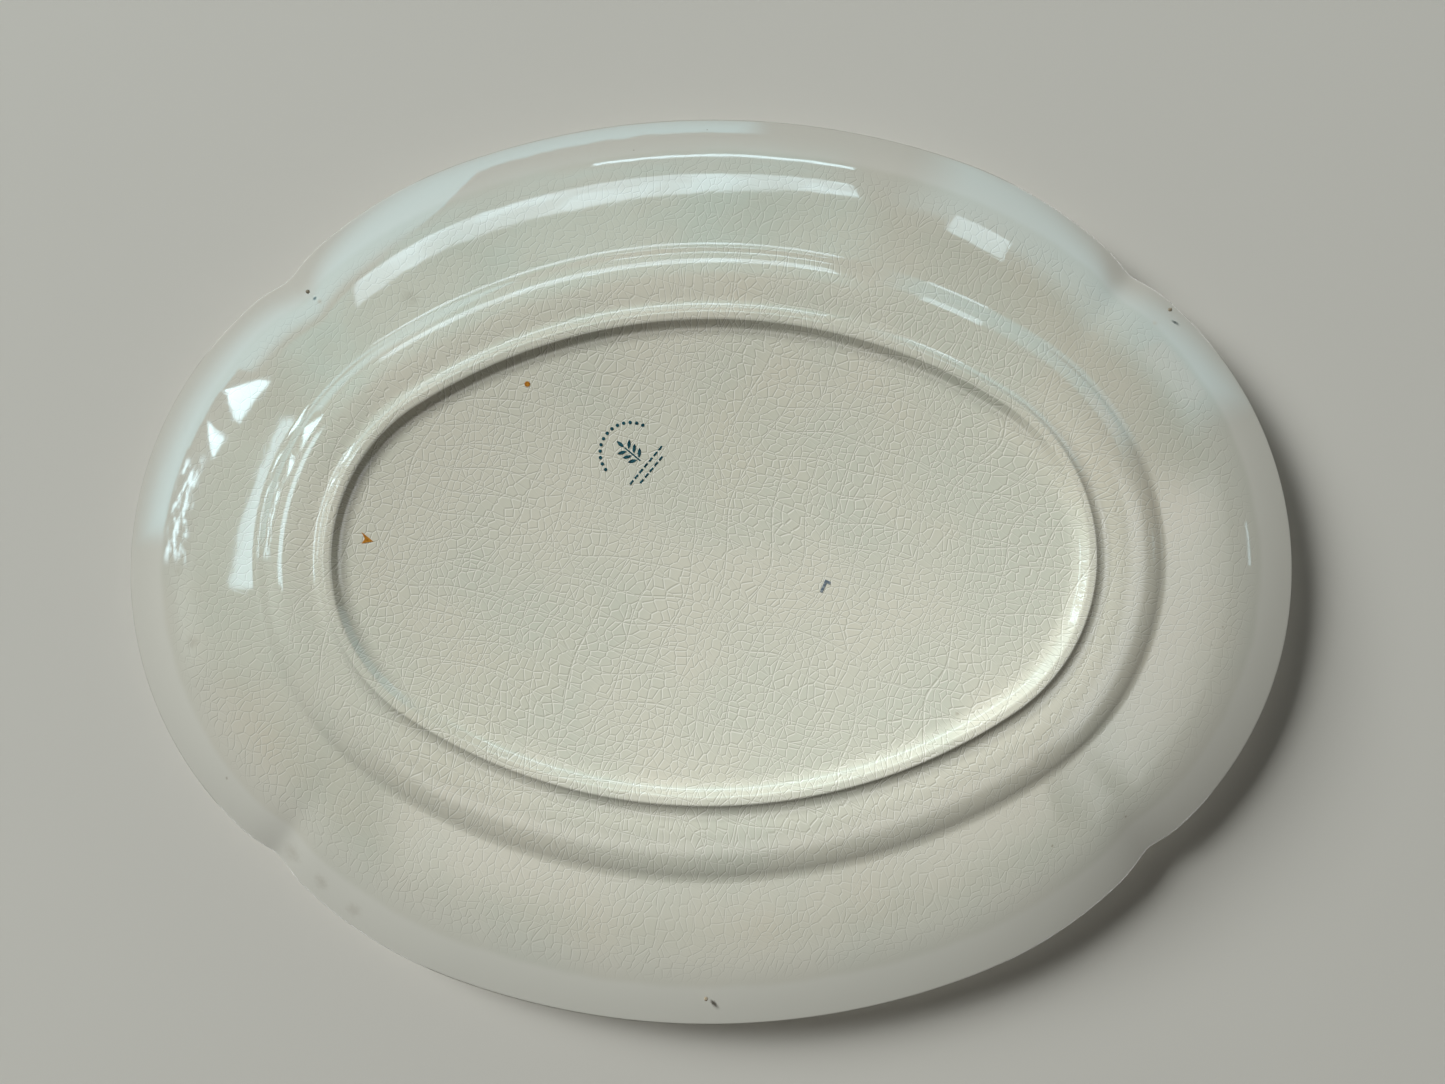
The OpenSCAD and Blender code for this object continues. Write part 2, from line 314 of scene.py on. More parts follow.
def around():
    """How far round the middle of the rim each station lies, from 0 to 1, and the whole way in mm."""
    ring = [Vector(placed(station, (MIDDLE_RIM, 0.0, 1.0))) for station in STATIONS]
    steps = [(b - a).length for a, b in zip(ring, ring[1:] + ring[:1])]
    total = sum(steps)
    turns, so_far = [], 0.0
    for step in steps:
        turns.append(so_far / total)
        so_far += step
    return turns, total / MM


TURNS, WAY_ROUND = around()

# ---------------------------------------------------------------- the meshes


def carried_round(name, line, ring=False, sharp_rows=()):
    """A closed mesh of a section line carried round the platter.

    A ring joins the line's last point to its first; anything else is closed at both ends by a flat face.
    The "place" attribute of each point is (cosine and sine of its turn, offset from the foot in mm).
    """
    count = len(STATIONS)
    rows = len(line)
    points = [placed(station, point) for point in line for station in STATIONS]
    faces = []
    for row in range(rows if ring else rows - 1):
        after = (row + 1) % rows
        for i in range(count):
            j = (i + 1) % count
            faces.append((row * count + i, row * count + j, after * count + j, after * count + i))
    if not ring:
        faces.append(tuple(reversed(range(count))))
        faces.append(tuple((rows - 1) * count + i for i in range(count)))
    mesh = bpy.data.meshes.new(name)
    mesh.from_pydata(points, [], faces)
    place = mesh.attributes.new("place", "FLOAT_VECTOR", "POINT")
    for row, (offset, _, scale) in enumerate(line):
        inward = (1 - scale) * WELL_REACH
        for i, turn in enumerate(TURNS):
            place.data[row * count + i].vector = (cos(360 * turn), sin(360 * turn), offset - inward)
    mesh.shade_smooth()
    for edge in mesh.edges:
        first_row, second_row = (v // count for v in edge.vertices)
        if first_row == second_row and first_row in sharp_rows:
            edge.use_edge_sharp = True
    shown = bpy.data.objects.new(name, mesh)
    bpy.context.scene.collection.objects.link(shown)
    return shown


def between(line, low, high):
    """The part of a line between two offsets, with a point put in at each cut."""
    kept = [p for p in line if low < p[0] < high]
    for cut in (low, high):
        if line[0][0] < cut < line[-1][0]:
            after = next(i for i, p in enumerate(line) if p[0] >= cut)
            a, b = line[after - 1], line[after]
            part = (cut - a[0]) / (b[0] - a[0])
            point = (cut, a[1] + (b[1] - a[1]) * part, 1.0)
            kept = [point] + kept if cut == low else kept + [point]
    return kept


def back_glaze_inner():
    outer = between(back_line(0.0, FINE_STEP), -BEYOND, GLAZE_CUT)
    hidden = between(back_line(GLAZE, COARSE_STEP), -BEYOND, GLAZE_CUT)
    sharp = (len(outer) - 1, len(outer))
    return carried_round("glaze_back_inner", outer + hidden[::-1], sharp_rows=sharp)


def back_glaze_rim():
    outer = between(back_line(0.0, FINE_STEP), GLAZE_CUT, BEYOND)
    outer += lip_line(0.0, 0.0, WIDEST_TURN, count=6)[1:]
    hidden = between(back_line(GLAZE, COARSE_STEP), GLAZE_CUT, BEYOND)
    hidden += lip_line(GLAZE, 0.0, WIDEST_TURN, count=3)[1:]
    sharp = (0, len(outer) - 1, len(outer), len(outer) + len(hidden) - 1)
    return carried_round("glaze_back_rim", outer + hidden[::-1], ring=True, sharp_rows=sharp)


def face_glaze():
    hidden = face_line(GLAZE, COARSE_STEP) + lip_line(GLAZE, 180.0, WIDEST_TURN, count=3)[1:]
    outer = lip_line(0.0, WIDEST_TURN, 180.0, count=9)[:-1] + face_line(0.0, FINE_STEP)[::-1]
    sharp = (len(hidden) - 1, len(hidden))
    return carried_round("glaze_face", hidden + outer, sharp_rows=sharp)


def clay_body():
    lip = lip_line(GLAZE, 0.0, 180.0, count=6)[1:-1]
    line = back_line(GLAZE, COARSE_STEP) + lip + face_line(GLAZE, COARSE_STEP)[::-1]
    return carried_round("clay_body", line)


# ---------------------------------------------------------------- the materials


class Net:
    """Short calls for a material's nodes. An input is a number, a tuple or another node's output."""

    def __init__(self, name):
        self.material = bpy.data.materials.new(name)
        self.material.use_nodes = True
        self.tree = self.material.node_tree
        self.shader = self.tree.nodes["Principled BSDF"]
        self.output = self.tree.nodes["Material Output"]

    def feed(self, socket, value):
        if isinstance(value, bpy.types.NodeSocket):
            self.tree.links.new(value, socket)
        else:
            socket.default_value = value

    def node(self, kind, inputs, **settings):
        made = self.tree.nodes.new(kind)
        for key, value in settings.items():
            setattr(made, key, value)
        for key, value in inputs.items():
            self.feed(made.inputs[key], value)
        return made

    def math(self, operation, *values):
        return self.node("ShaderNodeMath", dict(enumerate(values)), operation=operation).outputs[0]

    def add(self, *values):
        total = values[0]
        for value in values[1:]:
            total = self.math("ADD", total, value)
        return total

    def times(self, a, b):
        return self.math("MULTIPLY", a, b)

    def least(self, *values):
        smallest = values[0]
        for value in values[1:]:
            smallest = self.math("MINIMUM", smallest, value)
        return smallest

    def vector_math(self, operation, *values):
        return self.node("ShaderNodeVectorMath", dict(enumerate(values)), operation=operation).outputs[0]

    def length(self, vector):
        return self.node("ShaderNodeVectorMath", {0: vector}, operation="LENGTH").outputs["Value"]

    def clamped(self, value, low, high):
        return self.node("ShaderNodeClamp", {0: value, 1: low, 2: high}).outputs[0]

    def scaled(self, vector, scale):
        return self.node("ShaderNodeVectorMath", {0: vector, 3: scale}, operation="SCALE").outputs[0]

    def vector(self, x=0.0, y=0.0, z=0.0):
        return self.node("ShaderNodeCombineXYZ", {0: x, 1: y, 2: z}).outputs[0]

    def parts(self, vector):
        return self.node("ShaderNodeSeparateXYZ", {0: vector}).outputs

    def noise(self, vector, size, detail=2.0, roughness=0.5, colour=False):
        """Smooth noise about 0.5, whose lumps are about `size` across in the vector's units."""
        inputs = {"Vector": vector, "Scale": 1 / size, "Detail": detail, "Roughness": roughness}
        return self.node("ShaderNodeTexNoise", inputs).outputs["Color" if colour else "Fac"]

    def step_between(self, value, low, high, from_value=0.0, to_value=1.0):
        """A soft step: from_value up to low, to_value from high on."""
        inputs = {"Value": value, "From Min": low, "From Max": high}
        inputs.update({"To Min": from_value, "To Max": to_value})
        return self.node("ShaderNodeMapRange", inputs, interpolation_type="SMOOTHSTEP").outputs[0]

    def mix(self, factor, a, b):
        """A number between a and b."""
        return self.node("ShaderNodeMix", {0: factor, 2: a, 3: b}, data_type="FLOAT").outputs[0]

    def mix_colour(self, factor, a, b):
        inputs = {0: factor, 6: a, 7: b}
        return self.node("ShaderNodeMix", inputs, data_type="RGBA").outputs[2]

    def bump(self, height):
        """A normal that leans as a height in millimetres does."""
        inputs = {"Height": height, "Distance": MM, "Strength": 1.0}
        return self.node("ShaderNodeBump", inputs).outputs["Normal"]

    def position(self):
        """The object's own coordinates, in millimetres."""
        place = self.tree.nodes.new("ShaderNodeTexCoord").outputs["Object"]
        return self.scaled(place, 1 / MM)

    def finish(self, colour, roughness, height):
        self.feed(self.shader.inputs["Base Color"], colour)
        self.feed(self.shader.inputs["Roughness"], roughness)
        self.feed(self.shader.inputs["Normal"], self.bump(height))
        return self.material

    def surface(self, shader):
        """Takes another shader in place of the material's own."""
        self.feed(self.output.inputs["Surface"], shader)
        return self.material


# The usual width of a cell in mm, and how much the cells over the ring are drawn out towards the lip
CELL = 2.3
RING_DRAW = 0.7

# What bends the cracks: (size, reach) of each noise, the broad one first
WELL_BENDS = ((58.0, 9.0), (15.0, 2.6))
RING_BENDS = ((24.0, 4.0), (8.0, 1.2))

# Families of long cracks: (the bend's size and reach, direction across them, spacing)
LONG_CRACKS = (
    ((38.0, 13.0), (0.62, -0.78), 9.5),
    ((50.0, 13.0), (0.93, 0.37), 8.5),
    ((44.0, 13.0), (-0.30, 0.95), 6.5),
)
LONG_CRACK_THINNING = 0.12

# From this offset from the foot out, the cells lie round it
RING_START = FILLET_START + 1.5

# By this offset the cracks are down to a part of their strength, and at the end they have faded away
RIM_CRAZING = 33.0
RIM_STRENGTH = 0.45
CRAZING_END = 61.0
CRAZING_FADE = 9.0

# A crack is a brown groove in a wider valley. The valley is painted paler, with a painted highlight on one
# side and painted shade on the other, as if lit from one fixed direction
GROOVE_HALF_WIDTH = 0.16
VALLEY_HALF_WIDTH = 0.27
GROOVE_BROWN = 0.10
VALLEY_PALE_AND_HIGHLIGHT = 0.16
PAINTED_DEPTH = 0.09
# The fixed direction of the painted light on the cracks' sides, and the gains of its painted highlight and
# painted shade
PAINTED_LIGHT_DIRECTION = (-0.7, -0.7, 0.0)
PAINTED_HIGHLIGHT_GAIN, MOST_PAINTED_HIGHLIGHT = 5.0, 0.95
PAINTED_SHADE_GAIN, MOST_PAINTED_SHADE = 3.0, 0.5

# Clouds of colour, warm patches, and patches where the cracks are fainter: the size of their lumps in mm,
# the levels of noise between which they change, and the most warmth or the least crack strength
CLOUD_SIZE, CLOUD_LEVELS = 55.0, (0.38, 0.62)
WARM_SIZE, WARM_LEVELS, MOST_WARM = 80.0, (0.5, 0.75), 0.6
PATCH_SIZE, PATCH_LEVELS, LEAST_PATCH = 30.0, (0.3, 0.62), 0.7

# Offsets from the foot between which the outer rim is painted paler, a painted stand-in for light bounced
# off the backdrop, and then the lip grows paler
PAINTED_BOUNCE_RIM, MOST_PAINTED_BOUNCE = (38.0, 58.0), 0.5
PALE_LIP, MOST_PALE_LIP = (59.5, 63.0), 0.9
LIP_LUMPS, LIP_WANDER = 12.0, 2.0

# The glaze's unevenness in mm. A crack's real relief is tiny, to keep the mirrored windows sharp
UNDULATION_SIZE, UNDULATION_HEIGHT = 14.0, 0.045
PEEL_SIZE, PEEL_HEIGHT = 1.6, 0.0010
VALLEY_DEPTH = 0.004

# The glaze's roughness, and what smears and grooves add to it
GLOSS = 0.02
SMEAR_SIZE, SMEAR_ROUGHNESS = 6.0, 0.03
GROOVE_ROUGHNESS = 0.12

GLAZE_LIGHT = (0.765, 0.745, 0.640, 1.0)
GLAZE_GREEN = (0.700, 0.715, 0.615, 1.0)
GLAZE_WARM = (0.770, 0.715, 0.590, 1.0)
# A pale glaze colour for the lip, which also serves as the painted bounce light on the outer rim
PALE_LIP_AND_PAINTED_BOUNCE = (0.880, 0.875, 0.805, 1.0)
CRACK_STAIN_AND_PAINTED_SHADE = (0.330, 0.310, 0.225, 1.0)
CRACK_PALE_AND_PAINTED_HIGHLIGHT = (0.940, 0.935, 0.860, 1.0)

# Smudges and specks in the glaze: (x, y, radius in mm, strength)
STAINS = (
    (-87.7, -76.4, 5.5, 0.30),
    (-152.0, 24.0, 5.0, 0.28),
    (-157.0, 3.0, 2.6, 0.15),
    (-124.5, 86.6, 6.0, 0.22),
    (-116.0, 95.0, 5.0, 0.22),
    (-106.3, 103.3, 5.0, 0.20),
    (97.7, 83.5, 0.8, 0.8),
    (149.2, 21.2, 0.7, 0.7),
    (145.5, 26.4, 0.7, 0.6),
    (68.7, 44.6, 1.2, 0.5),
    (-22.8, -125.5, 0.5, 0.7),
    (-0.3, -133.6, 0.5, 0.7),
    (-143.6, 64.1, 1.0, 0.6),
    (120.6, 76.2, 0.9, 0.6),
)
STAIN_BROWN = (0.300, 0.235, 0.145, 1.0)

# As parts of a stain's radius: its lumps, how ragged they make it, and where its edge begins and ends
STAIN_LUMPS = 0.5
STAIN_RAGGEDNESS = 0.9
STAIN_EDGE = (0.35, 1.15)

# The dark and light tones of the other surfaces
CLAY_TONES = ((0.46, 0.38, 0.27, 1), (0.60, 0.52, 0.39, 1))
INK_TONES = ((0.006, 0.045, 0.065, 1), (0.03, 0.12, 0.15, 1))
BRUSH_TONES = ((0.12, 0.16, 0.21, 1), (0.32, 0.36, 0.38, 1))
SCAR_TONES = ((0.24, 0.19, 0.13, 1), (0.52, 0.45, 0.34, 1))
IRON_TONES = ((0.42, 0.15, 0.008, 1), (0.62, 0.27, 0.03, 1))

# Where in the noise the tones change, and how far the roughness of these surfaces ranges
TONE_LEVELS = (0.35, 0.65)
ROUGHNESS_SPREAD = 0.1


def bent(net, position, bends):
    """A position pushed about by smooth noises, each by up to about its reach."""
    for size, reach in bends:
        noise = net.noise(position, size, 1.0, 0.5, colour=True)
        push = net.vector_math("SUBTRACT", noise, (0.5, 0.5, 0.5))
        position = net.vector_math("ADD", position, net.scaled(push, 2 * reach))
    return position


def crossing_distance(net, position, bend, direction, spacing):
    """Distance in mm to the nearest of a family of long cracks that run square to a direction."""
    x, y, _ = net.parts(bent(net, position, [bend]))
    place = net.times(net.add(net.times(x, direction[0]), net.times(y, direction[1])), 1 / spacing)
    return net.times(net.math("ABSOLUTE", net.math("SUBTRACT", net.math("FRACT", place), 0.5)), spacing)


def cell_distance(net, x, y):
    """Distance in mm to the nearest edge of the small cells."""
    cells = net.node(
        "ShaderNodeTexVoronoi",
        {"Vector": net.vector(x, y), "Scale": 1 / CELL},
        voronoi_dimensions="2D",
        feature="DISTANCE_TO_EDGE",
    )
    return net.times(cells.outputs["Distance"], CELL)


def crazing(net, position):
    """Crack distance in mm over the whole platter, and the offset from the foot.

    Small cells are cut by long cracks that cross one another. Over the ring the cells lie round the foot
    and are drawn out towards the lip, and the long cracks grow thinner.
    """
    place = net.node("ShaderNodeAttribute", {}, attribute_name="place").outputs["Vector"]
    cosine, sine, offset = net.parts(place)
    well_x, well_y, _ = net.parts(bent(net, position, WELL_BENDS))
    shake = net.vector_math("SUBTRACT", bent(net, position, RING_BENDS), position)
    shake_x, shake_y, _ = net.parts(shake)
    way = net.times(net.math("ARCTAN2", sine, cosine), WAY_ROUND / (2 * math.pi))
    ring_x = net.add(way, shake_x)
    ring_y = net.add(net.times(offset, RING_DRAW), shake_y)
    in_ring = net.math("GREATER_THAN", offset, RING_START)
    to_cell = cell_distance(net, net.mix(in_ring, well_x, ring_x), net.mix(in_ring, well_y, ring_y))
    to_long_crack = net.least(*[crossing_distance(net, position, *family) for family in LONG_CRACKS])
    further = net.step_between(offset, 0.0, RIM_CRAZING, 0.0, LONG_CRACK_THINNING)
    return net.least(to_cell, net.add(to_long_crack, further)), offset


def crack_strength(net, position, offset, strength):
    """How strongly the cracks show: less over the rim, none on the lip, and less in patches."""
    fade = net.times(
        net.step_between(offset, CRAZING_END - CRAZING_FADE, CRAZING_END, 1.0, 0.0),
        net.step_between(offset, FILLET_START, RIM_CRAZING, 1.0, RIM_STRENGTH),
    )
    patchy = net.step_between(net.noise(position, PATCH_SIZE, 2.0), *PATCH_LEVELS, LEAST_PATCH, 1.0)
    return net.times(net.times(fade, patchy), strength)


def stain(net, position, x, y, radius, strength):
    """How much of a stain shows, with a ragged edge."""
    away = net.vector_math("SUBTRACT", position, (x, y, 0.0))
    length = net.length(net.vector_math("MULTIPLY", away, (1.0, 1.0, 0.0)))
    lumps = net.noise(position, radius * STAIN_LUMPS, 3.0, 0.7)
    ragged = net.add(length, net.times(lumps, radius * STAIN_RAGGEDNESS))
    return net.step_between(ragged, radius * STAIN_EDGE[0], radius * STAIN_EDGE[1], strength, 0.0)


def body_colour(net, position, offset):
    """The glaze's colour: cream and green clouds, warm patches, a rim painted paler for light bounced off
    the backdrop, a paler lip, and stains.
    """
    clouds = net.step_between(net.noise(position, CLOUD_SIZE, 3.0, 0.55), *CLOUD_LEVELS)
    body = net.mix_colour(clouds, GLAZE_LIGHT, GLAZE_GREEN)
    warm_patches = net.step_between(net.noise(position, WARM_SIZE, 4.0, 0.6), *WARM_LEVELS, 0.0, MOST_WARM)
    body = net.mix_colour(warm_patches, body, GLAZE_WARM)
    # Painted light: the outer rim is lightened as if by light bounced off the backdrop
    painted_bounce = net.step_between(offset, *PAINTED_BOUNCE_RIM, 0.0, MOST_PAINTED_BOUNCE)
    body = net.mix_colour(painted_bounce, body, PALE_LIP_AND_PAINTED_BOUNCE)
    wandering = net.add(offset, net.times(net.noise(position, LIP_LUMPS), LIP_WANDER))
    pale_lip = net.step_between(wandering, *PALE_LIP, 0.0, MOST_PALE_LIP)
    body = net.mix_colour(pale_lip, body, PALE_LIP_AND_PAINTED_BOUNCE)
    for x, y, radius, strength in STAINS:
        body = net.mix_colour(stain(net, position, x, y, radius, strength), body, STAIN_BROWN)
    return body


def painted_crack_side(net, valley):
    """How far a crack's sides lean to a fixed direction, for painted light: over 0 where a painted
    highlight goes, under 0 where painted shade goes.
    """
    leaning = net.bump(net.times(valley, -PAINTED_DEPTH))
    level = net.tree.nodes.new("ShaderNodeNewGeometry").outputs["Normal"]
    lean = net.vector_math("SUBTRACT", leaning, level)
    across = net.node("ShaderNodeVectorMath", {0: lean, 1: PAINTED_LIGHT_DIRECTION}, operation="DOT_PRODUCT")
    return across.outputs["Value"]


def cracked_colour(net, body, groove, valley):
    """The body's colour with the cracks painted on: a paler valley, a painted highlight on one side,
    painted shade on the other, and a brown groove.
    """
    painted_side = painted_crack_side(net, valley)
    # Painted highlight and painted shade from one fixed direction, not from the lamps; the brown serves as
    # both the groove's stain and the painted shade
    painted_highlight = net.clamped(net.times(painted_side, PAINTED_HIGHLIGHT_GAIN), 0.0, MOST_PAINTED_HIGHLIGHT)
    painted_shade = net.clamped(net.times(painted_side, -PAINTED_SHADE_GAIN), 0.0, MOST_PAINTED_SHADE)
    with_painted_highlight = net.mix_colour(net.add(painted_highlight, net.times(valley, VALLEY_PALE_AND_HIGHLIGHT)), body, CRACK_PALE_AND_PAINTED_HIGHLIGHT)
    with_painted_shade = net.mix_colour(painted_shade, with_painted_highlight, CRACK_STAIN_AND_PAINTED_SHADE)
    return net.mix_colour(net.times(groove, GROOVE_BROWN), with_painted_shade, CRACK_STAIN_AND_PAINTED_SHADE)


def glaze_material(name, strength):
    """Glossy cream glaze, with cloudy colour, fine unevenness and a net of fine cracks of a strength."""
    net = Net(name)
    position = net.position()
    distance, offset = crazing(net, position)
    shown = crack_strength(net, position, offset, strength)
    groove = net.times(net.step_between(distance, 0.0, GROOVE_HALF_WIDTH, 1.0, 0.0), shown)
    valley = net.times(net.step_between(distance, 0.0, VALLEY_HALF_WIDTH, 1.0, 0.0), shown)
    # The colour holds painted light: a painted highlight and painted shade on the cracks' sides
    colour = cracked_colour(net, body_colour(net, position, offset), groove, valley)
    height = net.add(
        net.times(net.noise(position, UNDULATION_SIZE, 2.0), UNDULATION_HEIGHT),
        net.times(net.noise(position, PEEL_SIZE, 1.0), PEEL_HEIGHT),
        net.times(valley, -VALLEY_DEPTH),
    )
    smears = net.times(net.noise(position, SMEAR_SIZE, 3.0), SMEAR_ROUGHNESS)
    roughness = net.add(GLOSS, smears, net.times(groove, GROOVE_ROUGHNESS))
    return net.finish(colour, roughness, height)


def plain_material(name, tones, grain, roughness, relief):
    """A colour that varies between two tones at a grain in mm, with a little relief in mm."""
    net = Net(name)
    position = net.position()
    tone = net.step_between(net.noise(position, grain, 3.0, 0.6), *TONE_LEVELS)
    height = net.times(net.noise(position, grain / 3, 2.0), relief)
    spread = net.times(net.noise(position, grain / 2, 2.0), ROUGHNESS_SPREAD)
    rough = net.add(roughness - ROUGHNESS_SPREAD / 2, spread)
    return net.finish(net.mix_colour(tone, *tones), rough, height)


# ---------------------------------------------------------------- the stage

# How far in mm the floor is below the foot, and the backdrop past the lip
FLOOR_GAP = 0.2
BACKDROP_GAP = 10.0

# The floor and the backdrop: their size in metres, and a faint mottle with lumps of a size in mm
STAGE_SIZE = 30.0
STAGE_ROUGHNESS = 0.9
STAGE_LUMPS = 300.0
STAGE_MOTTLE = 0.06
FLOOR_COLOUR = (0.52, 0.505, 0.475, 1.0)
BACKDROP_COLOUR = (0.55, 0.54, 0.505, 1.0)

# The stage melts into the distance's colour between these distances from the platter, in mm
DISTANCE_COLOUR = (0.38, 0.37, 0.35, 1.0)
MELTING = (450.0, 1500.0)


def one_sided(name, colour):
    """A matt stage colour that is seen from its front only, and that melts into the far distance."""
    net = Net(name)
    position = net.position()
    dark = tuple((1 - STAGE_MOTTLE) * c for c in colour[:3]) + (1.0,)
    mottled = net.mix_colour(net.noise(position, STAGE_LUMPS, 3.0), dark, colour)
    net.feed(net.shader.inputs["Base Color"], mottled)
    net.feed(net.shader.inputs["Roughness"], STAGE_ROUGHNESS)
    distant = net.node("ShaderNodeEmission", {"Color": DISTANCE_COLOUR}).outputs[0]
    melting = net.step_between(net.length(position), *MELTING)
    matt = net.node("ShaderNodeMixShader", {0: melting, 1: net.shader.outputs[0], 2: distant}).outputs[0]
    clear = net.node("ShaderNodeBsdfTransparent", {}).outputs[0]
    behind = net.tree.nodes.new("ShaderNodeNewGeometry").outputs["Backfacing"]
    return net.surface(net.node("ShaderNodeMixShader", {0: behind, 1: matt, 2: clear}).outputs[0])


def flat_rectangle(name, size, height, facing_up, material):
    """A flat rectangle about the Z axis, that faces up or down."""
    signs = ((-0.5, -0.5), (0.5, -0.5), (0.5, 0.5), (-0.5, 0.5))
    corners = [(x * size[0], y * size[1], height) for x, y in signs]
    mesh = bpy.data.meshes.new(name)
    mesh.from_pydata(corners, [], [(0, 1, 2, 3) if facing_up else (3, 2, 1, 0)])
    mesh.materials.append(material)
    return bpy.data.objects.new(name, mesh)


def stage_plane(name, height, facing_up, colour):
    """A plain plane for one hemisphere of views. It lights and shades nothing but itself."""
    plane = flat_rectangle(name, (STAGE_SIZE, STAGE_SIZE), height, facing_up, one_sided(name, colour))
    bpy.context.scene.collection.objects.link(plane)
    plane.visible_diffuse = False
    plane.visible_glossy = False
    plane.visible_transmission = False
    plane.visible_shadow = False
    return plane


def facing(thing, direction, distance, aim=(0.0, 0.0, 0.0), lean=0.0):
    """Places a light or card out along a direction, turned to face a point and leant about that line."""
    thing.location = Vector(direction).normalized() * distance
    thing.rotation_euler = (thing.location - Vector(aim)).to_track_quat("Z", "Y").to_euler()
    thing.rotation_euler.rotate_axis("Z", math.radians(lean))
    bpy.context.scene.collection.objects.link(thing)


def hidden_lamp(data, energy, colour, direction, distance, aim=(0.0, 0.0, 0.0)):
    """Places a light that shades things but isn't itself seen, nor mirrored in the glaze."""
    data.energy = energy
    data.color = colour
    lamp = bpy.data.objects.new(data.name, data)
    facing(lamp, direction, distance, aim)
    lamp.visible_camera = False
    lamp.visible_glossy = False
    return lamp


def soft_light(name, direction, distance, size, radiance, colour):
    """A rectangular light of a given radiance."""
    data = bpy.data.lights.new(name, "AREA")
    data.shape = "RECTANGLE"
    data.size, data.size_y = size
    return hidden_lamp(data, radiance * math.pi * size[0] * size[1], colour, direction, distance)


def window_beam(name, direction, distance, radius, strength, colour, aim, spread):
    """Soft window light that falls off across the platter, away from its aim."""
    data = bpy.data.lights.new(name, "SPOT")
    data.shadow_soft_size = radius
    data.spot_size = math.radians(spread)
    data.spot_blend = 1.0
    return hidden_lamp(data, strength * 4 * math.pi * distance**2, colour, direction, distance, aim)


def link_light(lamp, thing, state):
    """Lets a light fall on one thing only, or on everything but it."""
    group = bpy.data.collections.new(lamp.name + "_receivers")
    group.objects.link(thing)
    group.collection_objects[0].light_linking.link_state = state
    lamp.light_linking.receiver_collection = group


# The levels of noise between which leaves give way to sky
LEAF_LEVELS = (0.49, 0.56)


def card_material(name, size, radiance, colour, soft_edge, mottle, grain, taper):
    """A glow that fades out over a soft edge, broken up by a mottle of leaves at a grain in metres."""
    net = Net(name)
    place = net.tree.nodes.new("ShaderNodeTexCoord").outputs["Object"]
    x, y, _ = net.parts(place)
    narrowing = net.times(net.add(y, size[1] / 2), taper * size[0] / size[1] / 2)
    across = net.math("SUBTRACT", size[0] / 2, net.add(net.math("ABSOLUTE", x), narrowing))
    along = net.math("SUBTRACT", size[1] / 2, net.math("ABSOLUTE", y))
    inside = net.step_between(net.least(across, along), 0.0, soft_edge)
    leaves = net.step_between(net.noise(place, grain, 5.0, 0.65), *LEAF_LEVELS, 1.0 - mottle, 1.0)
    strength = net.times(net.times(inside, leaves), radiance)
    glow = net.node("ShaderNodeEmission", {"Color": colour + (1.0,), "Strength": strength})
    return net.surface(glow.outputs[0])


def card(
    name,
    direction,
    distance,
    size,
    radiance,
    colour,
    soft_edge=0.01,
    mottle=0.0,
    grain=0.2,
    taper=0.0,
    lean=0.0,
):
    """A window or bright patch of the room that is only seen mirrored in the glaze.

    A taper of 1 brings its far end to a point, and a lean turns it in its own plane.
    """
    glow = card_material(name, size, radiance, colour, soft_edge, mottle, grain, taper)
    plane = flat_rectangle(name, size, 0.0, True, glow)
    facing(plane, direction, distance, lean=lean)
    plane.visible_camera = False
    plane.visible_diffuse = False
    plane.visible_shadow = False
    plane.visible_transmission = False


def bearing(turn, rise):
    """A direction from the platter: turned from -X towards -Y, and risen from the table towards -Z."""
    return (-cos(rise) * cos(turn), -cos(rise) * sin(turn), -sin(rise))


WINDOW_BLUE = (0.64, 0.90, 1.0)
LEAF_GREEN = (0.84, 1.0, 0.90)
SKY_BLUE = (0.40, 0.86, 1.0)
SHADE_GREEN = (0.25, 0.97, 1.0)
ROOM_WARM = (1.0, 0.975, 0.92)
ROOM_COOL = (0.96, 1.0, 1.0)
STUDIO_WHITE = (1.0, 1.0, 1.0)

WINDOW_WAY = 2.0


def window(name, turn, rise, size, radiance, **shape):
    """A blue window that the crazed back mirrors."""
    card(name, bearing(turn, rise), WINDOW_WAY, size, radiance, WINDOW_BLUE, **shape)


def room_below():
    """What the crazed back mirrors: windows with trees and sky behind them, and a pale room."""
    window("window_high", 76, 23, (2.05, 0.27), 7.6, mottle=0.30, grain=0.30)
    window("window_top", 91, 8.5, (0.95, 0.05), 9.0)
    window("window_left", 13, 31, (0.95, 0.23), 7.5)
    window("window_pane", 28, 12.9, (0.27, 0.57), 13.0, taper=1.0)
    window("window_sliver", 21.3, 12.2, (0.13, 0.52), 13.0, taper=1.0, lean=-14.0)
    window("leafy_window", 10, 10, (0.60, 0.50), 11.0, soft_edge=0.12, mottle=1.0, grain=0.10)
    window("window_right", 120, 21, (0.26, 0.30), 5.5)
    window("window_far_right", 148.5, 12, (0.36, 0.55), 1.6)
    window("window_glint", 176, 9, (0.22, 0.05), 3.0)
    card("trees_high", bearing(70, 26), 2.3, (3.4, 2.0), 1.2, SHADE_GREEN, 0.5, mottle=0.35, grain=0.5)
    card("trees_left", bearing(6, 20), 2.3, (1.9, 1.3), 0.9, LEAF_GREEN, 0.4, mottle=0.4, grain=0.4)
    card("pale_floor", bearing(-95, 46), 2.2, (4.0, 1.3), 1.9, ROOM_WARM, 0.6)
    card("pale_wall", bearing(-168, 36), 2.3, (2.6, 1.5), 2.5, ROOM_COOL, 0.6)
    card("sky_veil", bearing(50, 6), 2.4, (5.0, 1.0), 2.4, SKY_BLUE, 0.4)
    card("sky_right", bearing(134, 10), 2.3, (2.2, 1.4), 1.6, SKY_BLUE, 0.4)


